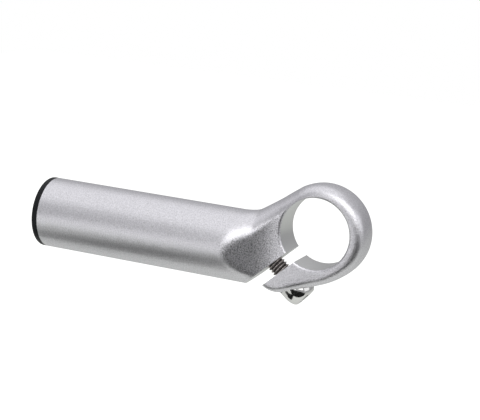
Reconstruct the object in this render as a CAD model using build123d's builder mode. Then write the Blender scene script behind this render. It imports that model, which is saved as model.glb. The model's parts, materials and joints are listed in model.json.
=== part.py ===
"""Straight handlebar bar end: a forged body with a split clamp ring, its clamp bolt and washer, and an end cap.

The origin is the centre of the clamp bore, halfway across its width. +Y runs along the bore and the handlebar,
+Z is up, and the grip reaches out along -X. The feature that takes the most skill is the neck, which turns the
round grip into the narrow crowned ring. Sizes are in millimetres and angles in degrees.
"""
from build123d import *
import os
from math import acos, cos, degrees, radians, sin, sqrt

os.makedirs("parts", exist_ok=True)

# Clamp ring, sized for the handlebar that it holds
bar_diameter = 22.2
bar_clearance = 0.05
clamp_width = 12.0
ring_wall = 4.05
ring_shift = 0.8
edge_radius = 3.2
nose_edge_radius = 1.9
crown_angle = 9.0
bore_chamfer = 0.25

# Grip tube
grip_diameter = 23.15
grip_drop = 8.85
grip_reach = 94.2
grip_wall = 2.3
grip_web = 5.0

# Neck between the grip and the ring
neck_angle = 33.0
neck_radius = 12.5
neck_corner = 5.4
scoop_margin = 1.85
scoop_radius = 34.0
shoulder_radius = 6.0
grip_lead = 2.0
grip_side_angle = 3.0

# How many sections of the neck stand along its shoulder, its scoop, its straight line and the ring
shoulder_count = 1
scoop_count = 4
line_count = 1
ring_count = 2

# Slot that splits the ring, and the jaw below it
slot_width = 3.75
slot_angle = 43.3
slot_rise = 0.62
jaw_angle = 20.2
jaw_flare = 0.88
flare_radius = 26.0
heel_radius = 8.2
heel_shift = 0.3

# Clamp bolt, an M6 socket screw, and its washer
bolt_diameter = 6.0
bolt_length = 20.0
bolt_angle = 40.0
bolt_wall = 4.1
bolt_point = 0.8
head_diameter = 10.0
head_height = 6.0
head_chamfer = 1.7
socket_size = 5.0
socket_depth = 3.0
washer_thickness = 0.8
jaw_thickness = 4.15
jaw_hole_clearance = 0.3
thread_clearance = 0.05
thread_run_out = 2.4
head_clearance = 0.2
washer_clearance = 0.2

# End cap, pressed into the open end of the grip
cap_thickness = 2.35
cap_chamfer = 0.5
plug_length = 11.0
plug_wall = 1.6
plug_clearance = 0.25
barb_clearance = 0.05
barb_width = 3.0

# Sizes that follow from the ones above
bore_radius = bar_diameter / 2 + bar_clearance
half_width = clamp_width / 2
ring_radius = bore_radius + ring_wall
grip_radius = grip_diameter / 2
grip_top = grip_radius - grip_drop
grip_bottom = -grip_radius - grip_drop

# The neck line leans on the ring and is blended into the top of the grip
lean = radians(neck_angle)
ring_touch_x = ring_shift - ring_radius * sin(lean)
ring_touch_z = ring_radius * cos(lean)
blend_end_z = grip_top + neck_radius * (1 - cos(lean))
blend_end_x = ring_touch_x - (ring_touch_z - blend_end_z) / sin(lean) * cos(lean)
blend_start_x = blend_end_x - neck_radius * sin(lean)

# The scoop on each side is an S of two arcs, from the side of the grip to the flat side of the ring
scoop_depth = grip_radius - half_width
scoop_sweep = acos(1 - scoop_depth / (scoop_radius + shoulder_radius))
scoop_end_x = -bore_radius - scoop_margin
shoulder_end_x = scoop_end_x - scoop_radius * sin(scoop_sweep)
neck_start_x = shoulder_end_x - shoulder_radius * sin(scoop_sweep)

# The bolt crosses the slot beside the bore, measured along its axis from the point nearest the bore
bolt_tilt = radians(bolt_angle)
slot_lean = radians(slot_angle)
tap_radius = bolt_diameter / 2 + thread_clearance
jaw_hole_radius = bolt_diameter / 2 + jaw_hole_clearance
bolt_offset = bore_radius + bolt_wall + jaw_hole_radius
foot_x = -bolt_offset * sin(bolt_tilt)
foot_z = -bolt_offset * cos(bolt_tilt)
foot_depth = foot_x * sin(slot_lean) - foot_z * cos(slot_lean)
across_slot = cos(bolt_tilt) * sin(slot_lean) + sin(bolt_tilt) * cos(slot_lean)
seat_run = (slot_width - slot_rise - foot_depth) / across_slot + jaw_thickness
head_run = seat_run + washer_thickness
tap_end = head_run - bolt_length - thread_run_out
bolt_plane = Plane(
    origin=(foot_x, 0, foot_z),
    x_dir=(sin(bolt_tilt), 0, cos(bolt_tilt)),
    z_dir=(cos(bolt_tilt), 0, -sin(bolt_tilt)),
)

# The hollow of the grip ends short of the bolt's tapped hole
hollow_end_x = foot_x + tap_end * cos(bolt_tilt) - tap_radius - grip_web

# The cap's plug and the barb at its end fit the hollow of the grip
cap_seat_x = -grip_reach
plug_end_x = cap_seat_x + plug_length
grip_axis = Axis((0, 0, -grip_drop), (1, 0, 0))
hollow_radius = grip_radius - grip_wall
plug_z = hollow_radius - plug_clearance - grip_drop
barb_z = hollow_radius - barb_clearance - grip_drop

# The jaw leaves the ring on a wider arc, runs straight below the bore and ends in a round heel under the bolt
line_angle = jaw_angle - 90
flare_turn = degrees(acos(1 - jaw_flare / (flare_radius - ring_radius)))
flare_angle = line_angle + flare_turn
flare_x = ring_shift - (flare_radius - ring_radius) * cos(radians(flare_angle))
flare_z = -(flare_radius - ring_radius) * sin(radians(flare_angle))
jaw_support = flare_radius + flare_x * cos(radians(line_angle)) + flare_z * sin(radians(line_angle))
heel_x = foot_x + heel_shift
heel_z = (jaw_support - heel_radius - heel_x * cos(radians(line_angle))) / sin(radians(line_angle))
nose_angle = slot_angle - 180


def neck_top(x):
    """Height of the neck above a place on the grip's length: grip, blend, neck line, then ring."""
    if x < blend_start_x:
        return grip_top
    if x < blend_end_x:
        return grip_top + neck_radius - sqrt(neck_radius**2 - (x - blend_start_x) ** 2)
    if x < ring_touch_x:
        return blend_end_z + (x - blend_end_x) * sin(lean) / cos(lean)
    return sqrt(ring_radius**2 - (x - ring_shift) ** 2)


def neck_half_width(x):
    """Half the width of the neck, drawn in from the grip to the ring by the two arcs of the scoop."""
    if x < shoulder_end_x:
        return grip_radius - shoulder_radius + sqrt(shoulder_radius**2 - (x - neck_start_x) ** 2)
    if x < scoop_end_x:
        return half_width + scoop_radius - sqrt(scoop_radius**2 - (scoop_end_x - x) ** 2)
    return half_width


def spread(start, end, steps):
    """Even steps from just after start up to end."""
    return [start + (end - start) * step / steps for step in range(1, steps + 1)]


def slot_point(along, across):
    """A point in the side view, measured outwards along the slot and up across it from the bore's centre."""
    return (
        -along * cos(slot_lean) - across * sin(slot_lean),
        -along * sin(slot_lean) + across * cos(slot_lean),
    )


def jaw_outline():
    """Outline of ring and jaw, from the top of the ring round to the nose of the jaw."""
    ring_arc = CenterArc((ring_shift, 0), ring_radius, 90, flare_angle - 90)
    CenterArc((flare_x, flare_z), flare_radius, flare_angle, -flare_turn)
    heel_arc = CenterArc((heel_x, heel_z), heel_radius, line_angle, nose_angle - line_angle)
    Line(
        (flare_x + flare_radius * cos(radians(line_angle)), flare_z + flare_radius * sin(radians(line_angle))),
        heel_arc @ 0,
    )
    return ring_arc @ 0, heel_arc @ 1


def crown_outline(width, corner, top, side=1):
    """One crowned edge of a section: a flat arc over the middle and a tighter one at each corner."""
    turn = radians(crown_angle)
    crown = corner + (width - corner) / sin(turn)
    corner_z = top - side * (crown - (crown - corner) * cos(turn))
    crown_x = crown * sin(turn)
    crown_z = top - side * crown * (1 - cos(turn))
    start = 90 - crown_angle if side > 0 else -90 + crown_angle
    CenterArc((width - corner, corner_z), corner, 0, start)
    ThreePointArc((crown_x, crown_z), (0, top), (-crown_x, crown_z))
    CenterArc((corner - width, corner_z), corner, 180, -start)
    return corner_z


def grip_circle(station):
    """Full circle of the grip, kept in eight arcs so that each meets its own edge of the neck's next section."""
    corner_turn = 90 - crown_angle - grip_side_angle
    start = -grip_side_angle
    arcs = []
    for turn in 2 * (2 * grip_side_angle, corner_turn, 2 * crown_angle, corner_turn):
        arcs.append(CenterArc((0, -grip_drop), grip_radius, start, turn))
        start += turn
    return Plane.YZ.offset(station) * make_face(arcs)


def neck_section(station):
    """Section of the neck: crowned above and below, flat at the sides, rounder the nearer the grip."""
    width = neck_half_width(station)
    if station < scoop_end_x:
        corner = neck_corner + (grip_radius - neck_corner) * (width - half_width) / scoop_depth
    else:
        corner = edge_radius + (neck_corner - edge_radius) * (ring_shift - station) / (ring_shift - scoop_end_x)
    with BuildLine(Plane.YZ.offset(station)) as outline:
        upper = crown_outline(width, corner, neck_top(station))
        lower = crown_outline(width, corner, grip_bottom, side=-1)
        Line((width, lower), (width, upper))
        Line((-width, upper), (-width, lower))
    return make_face(outline.edges())


# Sections of the neck stand closest where the scoop begins
neck_stations = (
    spread(neck_start_x, shoulder_end_x, shoulder_count)
    + spread(shoulder_end_x, scoop_end_x, scoop_count)
    + spread(scoop_end_x, ring_touch_x, line_count)
    + spread(ring_touch_x, ring_shift, ring_count)
)
neck_sections = [grip_circle(neck_start_x - grip_lead), grip_circle(neck_start_x)]
neck_sections += [neck_section(station) for station in neck_stations]

with BuildPart() as body:
    # Neck: from the full circle of the grip to the crowned ring
    loft(neck_sections)

    # Nothing of the neck is left below the upper face of the slot
    reach = grip_reach + grip_diameter
    with BuildSketch(Plane.XZ):
        with BuildLine():
            Polyline(
                slot_point(0, slot_rise),
                slot_point(reach, slot_rise),
                (0, -2 * reach),
                (clamp_width, 0),
                close=True,
            )
        make_face()
    extrude(amount=grip_diameter, both=True, mode=Mode.SUBTRACT)

    # Ring and jaw, cut from a flat plate
    with BuildSketch(Plane.XZ):
        with BuildLine():
            ring_top, nose = jaw_outline()
            Polyline(nose, (0, 0), (ring_shift, 0), ring_top)
        make_face()
    extrude(amount=half_width, both=True)

    # The crowned edge of the neck goes on round their outline and tightens towards the nose of the jaw
    with BuildLine(Plane.XZ) as rim:
        jaw_outline()
    nose_plane = Plane(rim.wire() @ 1, x_dir=(0, 1, 0), z_dir=rim.wire() % 1)
    for plane, corner, top in (
        (Plane.YZ.offset(ring_shift), edge_radius, ring_radius),
        (nose_plane, nose_edge_radius, 0),
    ):
        with BuildSketch(plane):
            with BuildLine():
                low = crown_outline(half_width, corner, top)
                Polyline(
                    (half_width, low),
                    (clamp_width, low),
                    (clamp_width, top + edge_radius),
                    (-clamp_width, top + edge_radius),
                    (-clamp_width, low),
                    (-half_width, low),
                )
            make_face()
    sweep(path=rim.wire(), multisection=True, mode=Mode.SUBTRACT)

    # Grip: a plain tube, closed at the neck by a web of solid metal
    with BuildSketch(Plane.YZ.offset(-grip_reach)):
        with Locations((0, -grip_drop)):
            Circle(grip_radius)
    extrude(amount=grip_reach + neck_start_x - grip_lead)
    with BuildSketch(Plane.YZ.offset(-grip_reach)):
        with Locations((0, -grip_drop)):
            Circle(hollow_radius)
    extrude(amount=grip_reach + hollow_end_x, mode=Mode.SUBTRACT)

    # Clamp bore, with a fine chamfer at both mouths
    with BuildSketch(Plane.XY):
        with BuildLine():
            Polyline(
                (0, -clamp_width),
                (bore_radius + half_width + bore_chamfer, -clamp_width),
                (bore_radius, bore_chamfer - half_width),
                (bore_radius, half_width - bore_chamfer),
                (bore_radius + half_width + bore_chamfer, clamp_width),
                (0, clamp_width),
                close=True,
            )
        make_face()
    revolve(axis=Axis.Y, mode=Mode.SUBTRACT)

    # Slot, from the bore out below the grip
    with BuildSketch(Plane.XZ):
        with BuildLine():
            Polyline(
                slot_point(0, slot_rise),
                slot_point(reach, slot_rise),
                slot_point(reach, slot_rise - slot_width),
                slot_point(0, slot_rise - slot_width),
                close=True,
            )
        make_face()
    extrude(amount=grip_diameter, both=True, mode=Mode.SUBTRACT)

    # Bolt hole: a seat and a clear hole in the jaw, a tapped hole beyond the slot
    with BuildSketch(bolt_plane.offset(seat_run)):
        Circle(head_diameter / 2 + head_clearance)
    extrude(amount=2 * head_height, mode=Mode.SUBTRACT)
    with BuildSketch(bolt_plane):
        Circle(jaw_hole_radius)
    extrude(amount=2 * seat_run, mode=Mode.SUBTRACT)
    with BuildSketch(bolt_plane):
        Circle(tap_radius)
    extrude(amount=tap_end, mode=Mode.SUBTRACT)

body.part.label = "body"
export_step(body.part, "parts/body.step")


with BuildPart() as end_cap:
    # Flange, the same diameter as the grip, with its outer edge chamfered
    with BuildSketch(Plane.YZ.offset(-grip_reach)):
        with Locations((0, -grip_drop)):
            Circle(grip_radius)
    extrude(amount=-cap_thickness)
    chamfer(end_cap.edges().group_by(Axis.X)[0], cap_chamfer)

    # Hollow plug, turned with a barb at its end that grips the inside of the tube
    with BuildSketch(Plane.XZ):
        with BuildLine():
            Polyline(
                (cap_seat_x, plug_z - plug_wall),
                (cap_seat_x, plug_z),
                (plug_end_x - barb_width, plug_z),
                (plug_end_x - barb_width, barb_z),
                (plug_end_x, plug_z),
                (plug_end_x, plug_z - plug_wall),
                close=True,
            )
        make_face()
    revolve(axis=grip_axis)

end_cap.part.label = "end_cap"
export_step(end_cap.part, "parts/end_cap.step")


with BuildPart() as washer:
    with BuildSketch(bolt_plane.offset(seat_run)):
        Circle(head_diameter / 2)
        Circle(bolt_diameter / 2 + washer_clearance, mode=Mode.SUBTRACT)
    extrude(amount=washer_thickness)

washer.part.label = "washer"
export_step(washer.part, "parts/washer.step")


def along_bolt(edge):
    """How far along the bolt's axis an edge stands."""
    return bolt_plane.to_local_coords(edge).center().Z


with BuildPart() as clamp_bolt:
    # Chamfered head and plain shank, turned about the bolt's own axis
    with BuildSketch(bolt_plane.offset(head_run)):
        Circle(head_diameter / 2)
    extrude(amount=head_height)
    chamfer(clamp_bolt.edges().group_by(along_bolt)[-1], head_chamfer)
    with BuildSketch(bolt_plane.offset(head_run)):
        Circle(bolt_diameter / 2)
    extrude(amount=-bolt_length)
    chamfer(clamp_bolt.edges().group_by(along_bolt)[0], bolt_point)

    # Hexagon socket for a key
    with BuildSketch(bolt_plane.offset(head_run + head_height)):
        RegularPolygon(socket_size / 2, 6, major_radius=False)
    extrude(amount=-socket_depth, mode=Mode.SUBTRACT)

clamp_bolt.part.label = "clamp_bolt"
export_step(clamp_bolt.part, "parts/clamp_bolt.step")
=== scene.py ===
# %% [markdown]
# # A bicycle bar end, dressed for its photograph
#
# The bar end is a short round grip of bead-blasted aluminium. A scooped neck joins it to a clamp ring, a slot splits
# the ring, and one screw closes it on the handlebar. A black cap plugs the open end of the grip.
#
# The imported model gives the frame: each solid at its real size and place, and the axis that the screw turns on. This
# lesson puts finer surfaces in place of the body, the cap and the screw, because soft fillets, a rolled edge and a
# thread are too fine for the solids. The washer stays a solid and only gets a finish. The lesson starts by loading the
# frame and keeping its box.

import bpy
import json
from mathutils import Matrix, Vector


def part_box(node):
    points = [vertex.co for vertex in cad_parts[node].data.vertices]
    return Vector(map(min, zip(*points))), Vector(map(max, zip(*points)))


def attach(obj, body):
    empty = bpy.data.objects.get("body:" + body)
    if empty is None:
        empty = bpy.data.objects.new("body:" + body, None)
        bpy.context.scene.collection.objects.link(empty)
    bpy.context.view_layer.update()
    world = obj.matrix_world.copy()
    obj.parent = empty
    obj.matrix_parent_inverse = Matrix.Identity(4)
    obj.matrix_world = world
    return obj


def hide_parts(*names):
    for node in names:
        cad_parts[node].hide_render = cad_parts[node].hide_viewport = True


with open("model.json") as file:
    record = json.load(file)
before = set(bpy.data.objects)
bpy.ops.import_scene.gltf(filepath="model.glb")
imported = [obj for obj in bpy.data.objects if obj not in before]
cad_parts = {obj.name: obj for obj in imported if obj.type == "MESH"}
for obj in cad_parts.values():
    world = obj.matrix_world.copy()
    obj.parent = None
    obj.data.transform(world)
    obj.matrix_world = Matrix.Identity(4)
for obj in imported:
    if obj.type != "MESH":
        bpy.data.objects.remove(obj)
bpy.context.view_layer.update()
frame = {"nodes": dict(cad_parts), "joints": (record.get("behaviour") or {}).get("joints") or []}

# %% [markdown]
# Lengths are in metres, and a millimetre constant keeps them readable.

# %% Units and imports
import json
from math import cos, radians, sin, tan, tau

import bmesh
import bpy
import numpy as np
from mathutils import Matrix, Vector

MM = 0.001
scene = bpy.context.scene
scene.view_settings.view_transform = "Standard"

# %% [markdown]
# ## The camera
#
# A product photograph is taken with a long lens from a little above. The camera stands on a sphere round the centre
# of the clamp bore, at an azimuth, an elevation and a distance. It then turns by a small yaw and pitch to frame the
# part, and rolls by a few degrees, as a hand-held camera does.

# %% Camera
VIEW_AZIMUTH = radians(18.57)
VIEW_ELEVATION = radians(12.55)
VIEW_DISTANCE = 430 * MM
VIEW_YAW = radians(-3.39)
VIEW_PITCH = radians(0.55)
VIEW_ROLL = radians(4.73)
PHOTO_WIDTH = 480
FOCAL_PIXELS = 1387.45
SENSOR_WIDTH = 36.0


def camera_frame():
    """Place and axes of the camera.

    The camera looks from the sphere back at its centre. Yaw and pitch turn that line of sight sideways and up, and
    roll turns the picture about it. Right is the line of sight crossed with the vertical, and up follows from both.
    """
    level = cos(VIEW_ELEVATION)
    place = Vector((sin(VIEW_AZIMUTH) * level, -cos(VIEW_AZIMUTH) * level, sin(VIEW_ELEVATION)))
    forward = -place
    right = forward.cross(Vector((0, 0, 1))).normalized()
    up = right.cross(forward)
    sight = (
        forward * cos(VIEW_YAW) * cos(VIEW_PITCH)
        + right * sin(VIEW_YAW) * cos(VIEW_PITCH)
        + up * sin(VIEW_PITCH)
    )
    right = sight.cross(Vector((0, 0, 1))).normalized()
    up = right.cross(sight)
    rolled_right = right * cos(VIEW_ROLL) + up * sin(VIEW_ROLL)
    rolled_up = up * cos(VIEW_ROLL) - right * sin(VIEW_ROLL)
    return place * VIEW_DISTANCE, rolled_right, rolled_up, sight


place, right, up, sight = camera_frame()
camera = bpy.data.objects.new("camera", bpy.data.cameras.new("camera"))
camera.matrix_world = Matrix.Translation(place) @ Matrix((right, up, -sight)).transposed().to_4x4()
camera.data.sensor_width = SENSOR_WIDTH
camera.data.lens = FOCAL_PIXELS * SENSOR_WIDTH / PHOTO_WIDTH
camera.data.clip_start = 0.05
camera.data.clip_end = 20.0
scene.collection.objects.link(camera)
scene.camera = camera
print("lens %.1f mm at %.0f mm from the bore" % (camera.data.lens, VIEW_DISTANCE / MM))

# %% [markdown]
# ## Helpers
#
# Every finish below is a small node tree, and a few helpers keep them short. One adds a node and sets its inputs: a
# value is a number, a colour or the output of another node, which is then linked. Another makes a node group with
# named inputs and outputs, which holds an effect that several finishes share. The last two add objects, and give a
# grid of points its faces.

# %% Helpers
def feed(tree, socket, value):
    """Sets an input: another node's output is linked to it, and anything else becomes its value."""
    if isinstance(value, bpy.types.NodeSocket):
        tree.links.new(value, socket)
    else:
        socket.default_value = value


def add_node(tree, kind, **values):
    """A node of that kind. Values name either a property of the node or, with spaces as underscores, an input."""
    node = tree.nodes.new(kind)
    for name, value in values.items():
        socket = node.inputs.get(name.replace("_", " "))
        if socket is None or hasattr(node, name):
            setattr(node, name, value)
        else:
            feed(tree, socket, value)
    return node


def vector_node(tree, operation, *values, kind="ShaderNodeVectorMath"):
    """A Vector Math node, or another kind that has operations, with its first inputs set."""
    node = add_node(tree, kind, operation=operation)
    for socket, value in zip(node.inputs, values):
        feed(tree, socket, value)
    return node


def calculate(tree, operation, *values):
    """The result of a Math node."""
    return vector_node(tree, operation, *values, kind="ShaderNodeMath").outputs[0]


def ramp(tree, value, start, end, low=0.0, high=1.0):
    """A result that runs smoothly from low to high while the value runs from start to end."""
    node = add_node(
        tree, "ShaderNodeMapRange", interpolation_type="SMOOTHSTEP",
        Value=value, From_Min=start, From_Max=end, To_Min=low, To_Max=high,
    )
    return node.outputs["Result"]


def new_group(name, inputs, outputs):
    """A node group of plain numbers, from its inputs with their defaults and the names of its outputs."""
    group = bpy.data.node_groups.new(name, "ShaderNodeTree")
    for socket_name, default in inputs.items():
        socket = group.interface.new_socket(socket_name, in_out="INPUT", socket_type="NodeSocketFloat")
        socket.default_value = default
    for socket_name in outputs:
        group.interface.new_socket(socket_name, in_out="OUTPUT", socket_type="NodeSocketFloat")
    return group, group.nodes.new("NodeGroupInput"), group.nodes.new("NodeGroupOutput")


def new_material(name, **values):
    """A material with one Principled BSDF whose inputs take the values, its tree and that node."""
    material = bpy.data.materials.new(name)
    material.use_nodes = True
    tree = material.node_tree
    tree.nodes.clear()
    surface = add_node(tree, "ShaderNodeBsdfPrincipled", **values)
    add_node(tree, "ShaderNodeOutputMaterial", Surface=surface.outputs[0])
    return material, tree, surface


def add_object(name, data):
    """A new object at the origin, linked into the scene."""
    item = bpy.data.objects.new(name, data)
    scene.collection.objects.link(item)
    return item


def grid_faces(index):
    """Faces with four corners, from a grid of point numbers."""
    a, b = index[:-1], index[1:]
    return np.stack([a[:, :-1], a[:, 1:], b[:, 1:], b[:, :-1]], axis=-1).reshape(-1, 4).tolist()


print("helpers ready")

# %% [markdown]
# ## A white table and a soft studio
#
# Bare metal has hardly any colour of its own: it shows the room. So the light decides how it looks. A wide softbox
# hangs overhead, the brightest one stands above the lens and a little to its right, weaker ones stand on both sides,
# and a pale table lights the part from below. A strip of black cloth below the lens draws the dark line along the
# lower third of the grip, and darkens the scoop of the neck.
#
# The world is a soft dome, a little darker at the horizon than above. Rays from the camera see white instead, so the
# background is clean without more light on the part.

# %% World
DOME_HORIZON = 0.38
DOME_TOP = 0.62
DOME_RISE = 0.7
DOME_COLOUR = (0.975, 0.975, 1.0, 1)
WHITE = (1, 1, 1, 1)


def studio_world():
    """Dome whose strength rises with the height of the direction. Camera rays see plain white."""
    world = bpy.data.worlds.new("studio")
    world.use_nodes = True
    tree = world.node_tree
    tree.nodes.clear()
    sky = add_node(tree, "ShaderNodeTexCoord").outputs["Generated"]
    height = add_node(tree, "ShaderNodeSeparateXYZ", Vector=sky).outputs["Z"]
    strength = ramp(tree, height, 0.0, DOME_RISE, DOME_HORIZON, DOME_TOP)
    rays = add_node(tree, "ShaderNodeLightPath")
    seen = calculate(tree, "MAXIMUM", rays.outputs["Is Camera Ray"], rays.outputs["Is Transmission Ray"])
    dome = add_node(tree, "ShaderNodeBackground", Color=DOME_COLOUR, Strength=strength)
    white = add_node(tree, "ShaderNodeBackground", Color=WHITE)
    either = add_node(tree, "ShaderNodeMixShader", Fac=seen)
    tree.links.new(dome.outputs[0], either.inputs[1])
    tree.links.new(white.outputs[0], either.inputs[2])
    add_node(tree, "ShaderNodeOutputWorld", Surface=either.outputs[0])
    return world


scene.world = studio_world()
print("dome %.2f at the horizon, %.2f overhead" % (DOME_HORIZON, DOME_TOP))

# %% [markdown]
# The table is pale and matt. A share of emission, seen by camera, glossy and transmission rays, lifts it to the white
# of the background, and what it keeps of plain diffuse light still shows the shadow of the part.

# %% Table
TABLE_HEIGHT = -450 * MM
TABLE_HALF_WIDTH = 2.5
TABLE_FRONT, TABLE_BACK = -1.5, 4.0
TABLE_COLOUR = (0.80, 0.815, 0.775, 1)
TABLE_LIFT = 0.75
TABLE_GLOSS_LIFT = 0.05


def table_material():
    """Matt white with a lift that only camera, transmission and glossy rays see."""
    material = bpy.data.materials.new("pale_table")
    material.use_nodes = True
    tree = material.node_tree
    tree.nodes.clear()
    rays = add_node(tree, "ShaderNodeLightPath")
    seen = calculate(tree, "MAXIMUM", rays.outputs["Is Camera Ray"], rays.outputs["Is Transmission Ray"])
    direct = calculate(tree, "MULTIPLY", seen, TABLE_LIFT)
    lift = calculate(tree, "MULTIPLY_ADD", rays.outputs["Is Glossy Ray"], TABLE_GLOSS_LIFT, direct)
    both = add_node(tree, "ShaderNodeAddShader")
    matt = add_node(tree, "ShaderNodeBsdfDiffuse", Color=TABLE_COLOUR)
    glow = add_node(tree, "ShaderNodeEmission", Strength=lift)
    tree.links.new(matt.outputs[0], both.inputs[0])
    tree.links.new(glow.outputs[0], both.inputs[1])
    add_node(tree, "ShaderNodeOutputMaterial", Surface=both.outputs[0])
    return material


def table_plane():
    """One flat face at the table's height."""
    left, right = -TABLE_HALF_WIDTH, TABLE_HALF_WIDTH
    corners = [(left, TABLE_FRONT), (right, TABLE_FRONT), (right, TABLE_BACK), (left, TABLE_BACK)]
    mesh = bpy.data.meshes.new("table")
    mesh.from_pydata([(x, y, TABLE_HEIGHT) for x, y in corners], [], [(0, 1, 2, 3)])
    mesh.materials.append(table_material())
    table = add_object("table", mesh)
    return table


table_plane()
print("table at %.0f mm" % (TABLE_HEIGHT / MM))

# %% [markdown]
# A softbox is an area lamp. Its radiance is what a mirror would show, so it is the useful number, and the lamp's power
# follows from it: power is radiance times the lamp's area times pi. Each one is given by the direction in which it
# stands from the part, its distance and its size.

# %% Softboxes
LIGHT_AIM = Vector((-40 * MM, 0, 0))
SOFTBOXES = {
    # name: (azimuth, elevation, distance, width, height, radiance, colour)
    "key": (25, 32, 0.80, 0.84, 0.64, 1.42, (1.0, 1.0, 0.995)),
    "top": (-80, 78, 0.80, 1.30, 1.10, 0.42, (0.99, 0.985, 1.0)),
    "fill": (-1, 9, 0.80, 0.32, 0.26, 0.85, (1.0, 1.0, 0.995)),
    "left": (-26, -11, 0.80, 0.44, 0.32, 0.74, (0.98, 0.975, 1.0)),
    "far_left": (-82, 32, 0.80, 0.50, 0.36, 0.22, (0.98, 0.975, 1.0)),
    "right": (84, 18, 0.80, 0.60, 0.50, 0.62, (0.98, 0.99, 1.0)),
}


def direction(azimuth, elevation):
    """The unit vector towards an azimuth and elevation in degrees, where azimuth 0 is -Y and 90 is +X."""
    a, e = np.radians(azimuth), np.radians(elevation)
    return np.stack([np.sin(a) * np.cos(e), -np.cos(a) * np.cos(e), np.sin(e)], axis=-1)


def softbox(name, azimuth, elevation, distance, width, height, radiance, colour):
    """A rectangular area lamp that faces the part from a direction."""
    lamp = bpy.data.lights.new(name, "AREA")
    lamp.shape = "RECTANGLE"
    lamp.size, lamp.size_y = width, height
    lamp.energy = radiance * width * height * np.pi
    lamp.color = colour
    away = Vector(direction(azimuth, elevation))
    turn = away.to_track_quat("Z", "Y").to_matrix().to_4x4()
    box = add_object("softbox_" + name, lamp)
    box.matrix_world = Matrix.Translation(LIGHT_AIM + away * distance) @ turn
    box.visible_camera = False
    return box


for name, setting in SOFTBOXES.items():
    print(softbox(name, *setting).name, "radiance", setting[5])

# %% [markdown]
# The black cloth is the other half of the light. It lies on a sphere round the part, along a line of directions from
# low on the left to just under the lens, and widens under the lens, where the photographer stands.

# %% Black cloth
CLOTH_DISTANCE = 420 * MM
CLOTH_AZIMUTH = (-85, -55, -38, -22, -8, 8, 42, 75)
CLOTH_ELEVATION = (-62, -54, -50, -45, -36, -25, -24, -25)
CLOTH_HALF_WIDTH = (6, 12, 13, 9, 6, 21, 21, 9)
CLOTH_STEPS, CLOTH_ROWS = 40, 7
CLOTH_GREY = 0.02


def staged_black(name, points):
    """A grid of points as matt black cloth, which only reflections see."""
    index = np.arange(points.shape[0] * points.shape[1]).reshape(points.shape[:2])
    mesh = bpy.data.meshes.new(name)
    mesh.from_pydata(points.reshape(-1, 3).tolist(), [], grid_faces(index))
    grey = (CLOTH_GREY, CLOTH_GREY, CLOTH_GREY, 1)
    mesh.materials.append(new_material(name, Base_Color=grey, Roughness=1.0, Specular_IOR_Level=0.0)[0])
    cloth = add_object(name, mesh)
    cloth.visible_camera = False
    cloth.visible_shadow = False
    cloth.visible_diffuse = False
    return cloth


def black_cloth():
    """A strip on a sphere round the part.

    Its middle line runs straight from each given direction to the next, and the rows stand off it in elevation by up to
    the half width.
    """
    knots = np.linspace(0, 1, len(CLOTH_AZIMUTH))
    along = np.linspace(0, 1, CLOTH_STEPS)
    azimuth, middle, half = (np.interp(along, knots, v) for v in (CLOTH_AZIMUTH, CLOTH_ELEVATION, CLOTH_HALF_WIDTH))
    across = np.linspace(-1, 1, CLOTH_ROWS)
    elevation = middle[:, None] + half[:, None] * across
    points = np.array(LIGHT_AIM) + CLOTH_DISTANCE * direction(azimuth[:, None] + 0 * elevation, elevation)
    return staged_black("black_cloth", points)


print("cloth faces:", len(black_cloth().data.polygons))

# %% [markdown]
# The head of the screw is a small convex mirror, and looks like chrome only if something dark stands in it. So a small
# black card, which photographers call a flag, stands close in front of the screw, where the grip hardly sees it.

# %% Black flag
FLAG_AIM = np.array([-3, -5, -21]) * MM
FLAG_DISTANCE = 11 * MM
FLAG_AZIMUTH, FLAG_ELEVATION = (-40, -4), (-32, 8)
FLAG_POINTS = 9


def black_flag():
    """A square piece of a sphere round the screw's head, between two azimuths and two elevations."""
    sides = (np.linspace(*limits, FLAG_POINTS) for limits in (FLAG_AZIMUTH, FLAG_ELEVATION))
    azimuth, elevation = np.meshgrid(*sides)
    return staged_black("black_flag", FLAG_AIM + FLAG_DISTANCE * direction(azimuth, elevation))


print("flag faces:", len(black_flag().data.polygons))

# %% [markdown]
# ## Shared effects
#
# Blasting leaves tiny dents all over the metal, and moulded plastic has a grain too, only finer. Both are the same
# effect with other values, so it is a node group: two sizes of noise, added. It gives a height for a Bump node and a
# tone that lightens and darkens the colour a little.

# %% Grain group
def grain_group():
    """Fine noise at the given size in millimetres, plus noise three times as large at a given share."""
    inputs = {"Size": 0.4, "Coarse Share": 0.3, "Tone Range": 0.05}
    group, source, result = new_group("fine_grain", inputs, ("Height", "Tone"))
    coordinates = add_node(group, "ShaderNodeTexCoord").outputs["Object"]
    scale = calculate(group, "DIVIDE", 1.0 / MM, source.outputs["Size"])
    noises = []
    for factor in (1.0, 1 / 3):
        noise = add_node(group, "ShaderNodeTexNoise", Vector=coordinates, Detail=1.0, Roughness=0.5)
        group.links.new(calculate(group, "MULTIPLY", scale, factor), noise.inputs["Scale"])
        noises.append(noise.outputs[0])
    fine, coarse = noises
    height = calculate(group, "MULTIPLY_ADD", coarse, source.outputs["Coarse Share"], fine)
    centred = calculate(group, "SUBTRACT", fine, 0.5)
    tone = calculate(group, "MULTIPLY_ADD", centred, source.outputs["Tone Range"], 1.0)
    group.links.new(height, result.inputs["Height"])
    group.links.new(tone, result.inputs["Tone"])
    return group


FINE_GRAIN = grain_group()
print("group:", FINE_GRAIN.name)
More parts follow.
